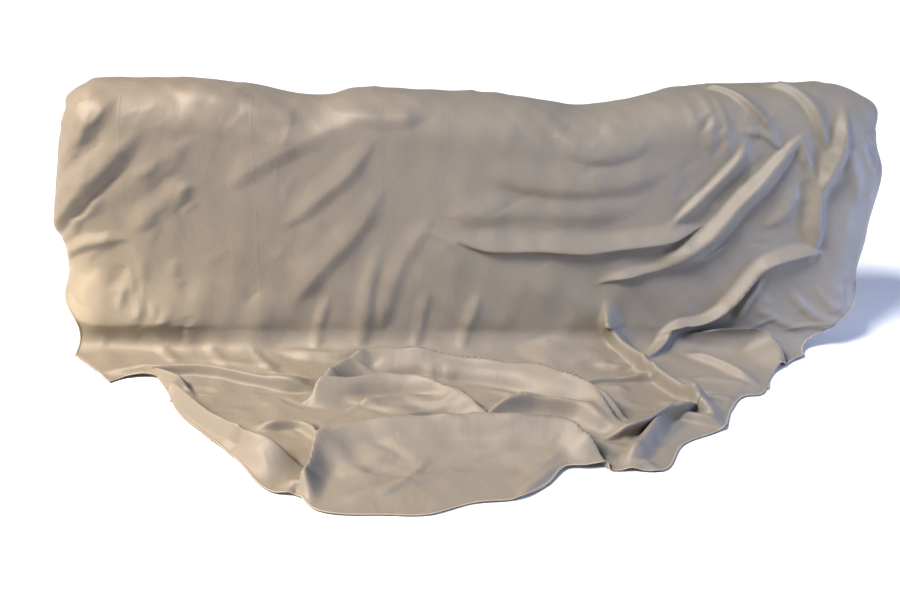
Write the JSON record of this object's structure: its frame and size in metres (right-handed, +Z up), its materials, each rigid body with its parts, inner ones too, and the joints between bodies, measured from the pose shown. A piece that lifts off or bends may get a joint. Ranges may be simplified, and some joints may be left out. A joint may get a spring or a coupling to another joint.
{
  "type": "chiffon veil draped over a low padded backrest",
  "caption": "Wide silky chiffon veil draped over a low padded backrest, its front end spread forward in soft folds with a round outer hem.",
  "frame": {"origin": "middle of the backrest's flat underside, on the floor", "axes": "+Z up, +X along the backrest to the right as seen from the front, and the veil falls and spreads towards -Y"},
  "size_m": [1.8443, 0.882, 0.5563],
  "materials": {
    "chiffon": "silky chiffon, silver grey with a warm sheen, softly creased",
    "backrest_cover": "plain pale woven cotton cover, matte"
  },
  "bodies": {
    "root": {"backrest": "backrest_cover", "veil_back_flap": "chiffon", "veil_top_roll": "chiffon", "veil_front_fall": "chiffon", "veil_spread": "chiffon"}
  },
  "joints": []
}
